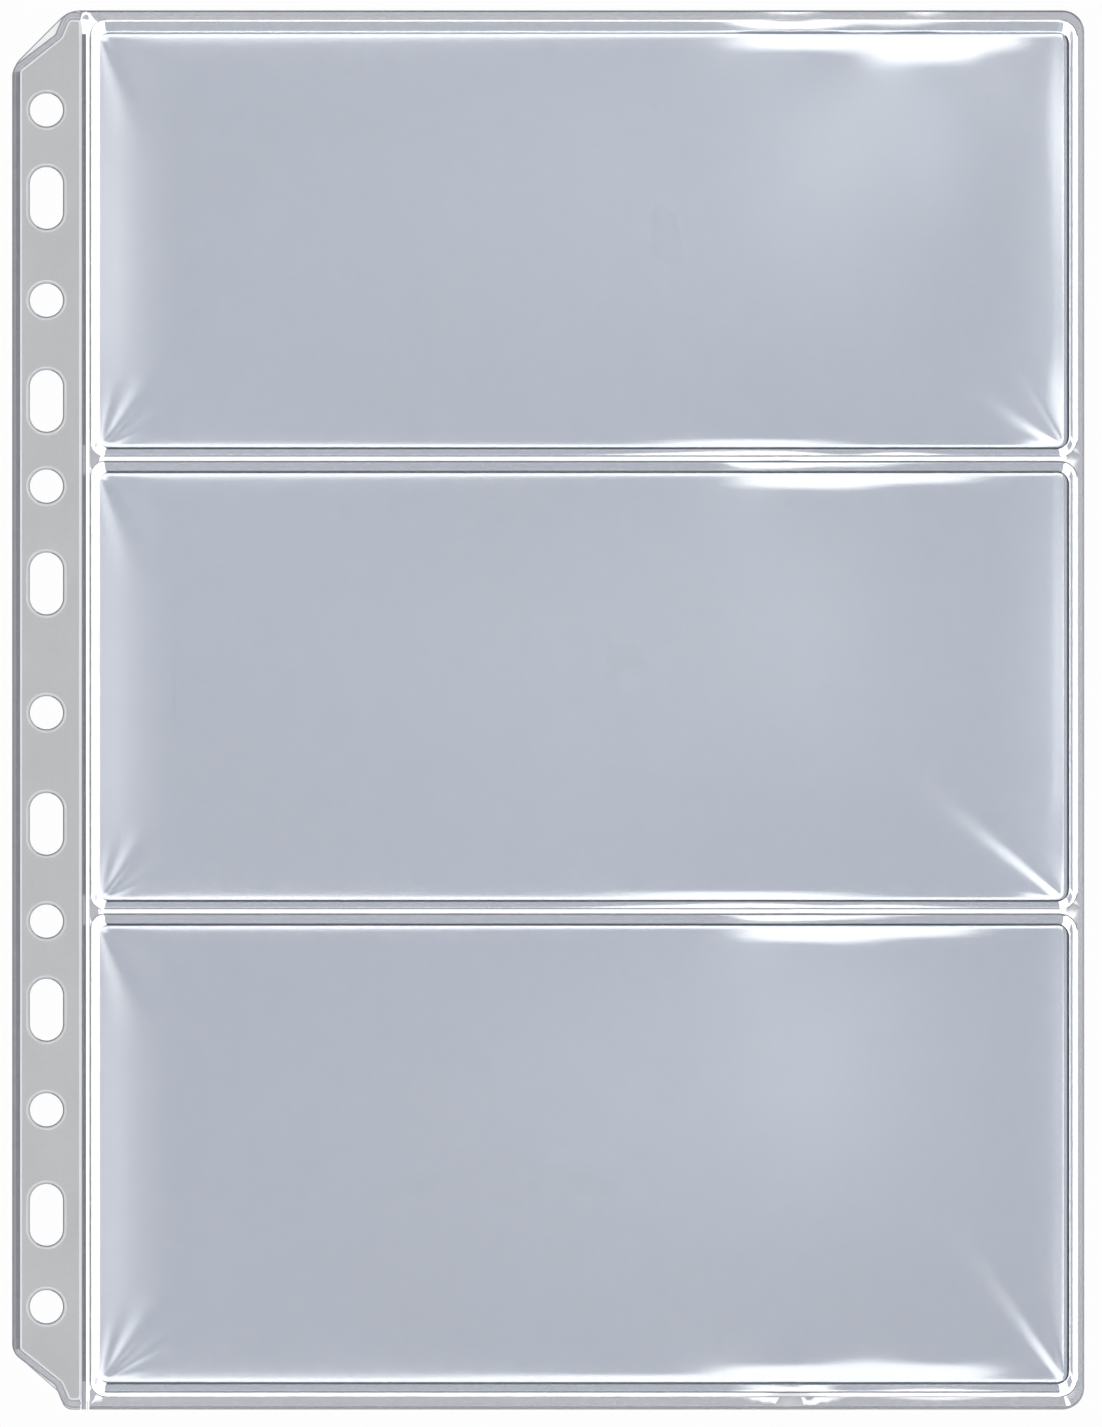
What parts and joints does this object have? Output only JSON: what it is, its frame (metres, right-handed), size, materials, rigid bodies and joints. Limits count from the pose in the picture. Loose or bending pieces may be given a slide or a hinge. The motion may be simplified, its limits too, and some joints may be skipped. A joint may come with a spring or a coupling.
{
  "type": "banknote album page",
  "caption": "Clear plastic album page with welded pockets one above another for banknotes, and a punched, reinforced margin that turns on a flex groove.",
  "frame": {"origin": "middle of the page's outline, on the surface that it lies on", "axes": "+X from the punched margin to the pockets, +Y to the page's top edge, +Z out of the pockets' front"},
  "size_m": [0.195, 0.2544, 0.0022],
  "materials": {
    "clear_film": "clear, glossy, faintly blue PVC film",
    "fused_film": "clear PVC film pressed and welded, grey at its edges",
    "satin_strip": "satin grey reinforcing strip"
  },
  "bodies": {
    "binding": {"margin_film": "fused_film", "punched_strip": "satin_strip", "flex_web": "fused_film"},
    "panel": {"back_sheet": "clear_film", "front_sheet": "fused_film"},
    "pocket_top": {"pocket_film_top": "clear_film"},
    "pocket_middle": {"pocket_film_middle": "clear_film"},
    "pocket_bottom": {"pocket_film_bottom": "clear_film"}
  },
  "joints": [
    {"name": "page_hinge", "type": "hinge", "parent": "binding", "child": "panel", "pos_m": [-0.08445, 0, 0.0002], "axis": [0, -1, 0], "range_deg": [-90, 90]},
    {"name": "mouth_top", "type": "hinge", "parent": "panel", "child": "pocket_top", "pos_m": [0, 0.04835, 0.00025], "axis": [1, 0, 0], "range_deg": [0, 9], "stiffness_Nm_per_rad": 0.05},
    {"name": "mouth_middle", "type": "hinge", "parent": "panel", "child": "pocket_middle", "pos_m": [0, -0.03395, 0.00025], "axis": [1, 0, 0], "range_deg": [0, 9], "stiffness_Nm_per_rad": 0.05},
    {"name": "mouth_bottom", "type": "hinge", "parent": "panel", "child": "pocket_bottom", "pos_m": [0, -0.12195, 0.00025], "axis": [1, 0, 0], "range_deg": [0, 9], "stiffness_Nm_per_rad": 0.05}
  ]
}
